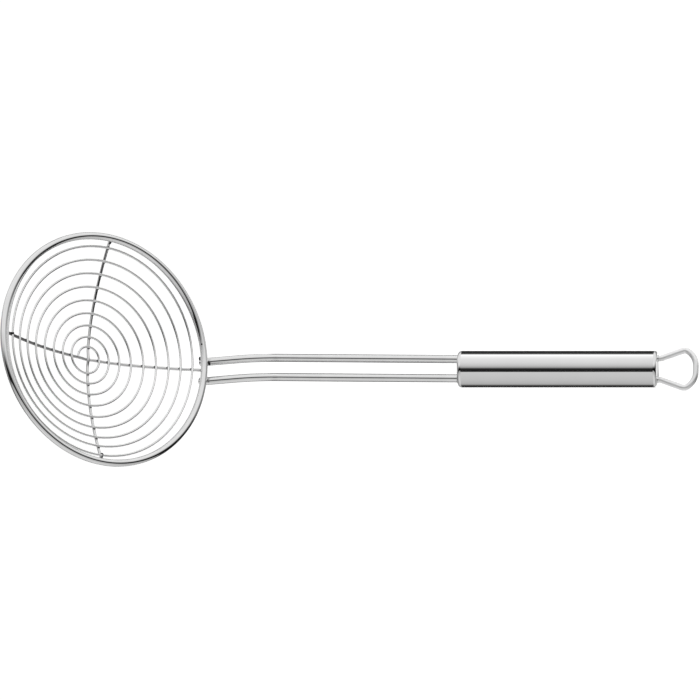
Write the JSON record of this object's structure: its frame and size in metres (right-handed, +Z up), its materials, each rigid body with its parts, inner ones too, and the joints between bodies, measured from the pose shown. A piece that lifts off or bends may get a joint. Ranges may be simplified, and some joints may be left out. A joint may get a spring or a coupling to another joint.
{
  "type": "spiral wire skimmer",
  "caption": "Round shallow skimmer bowl of spiral steel wire in a rim ring, on bent rods that enter a tube handle with rounded caps and a wire hanging loop.",
  "frame": {"origin": "under the middle of the whole skimmer, at the height of the handle tube's lowest facet", "axes": "+X along the handle from the bowl to the hanging loop, +Y across it, +Z up and out of the bowl"},
  "size_m": [0.3566, 0.125, 0.0841],
  "materials": {
    "polished_tube": "polished stainless steel",
    "bright_wire": "bright drawn stainless wire",
    "fine_wire": "bright thin stainless wire"
  },
  "bodies": {
    "root": {"rim_ring": "bright_wire", "basket_spiral": "fine_wire", "long_rib": "fine_wire", "cross_rib": "fine_wire", "shank_rod_right": "bright_wire", "shank_rod_left": "bright_wire", "handle_front_cap": "polished_tube", "handle_tube": "polished_tube", "handle_rear_cap": "polished_tube", "hanging_loop": "bright_wire"}
  },
  "joints": []
}
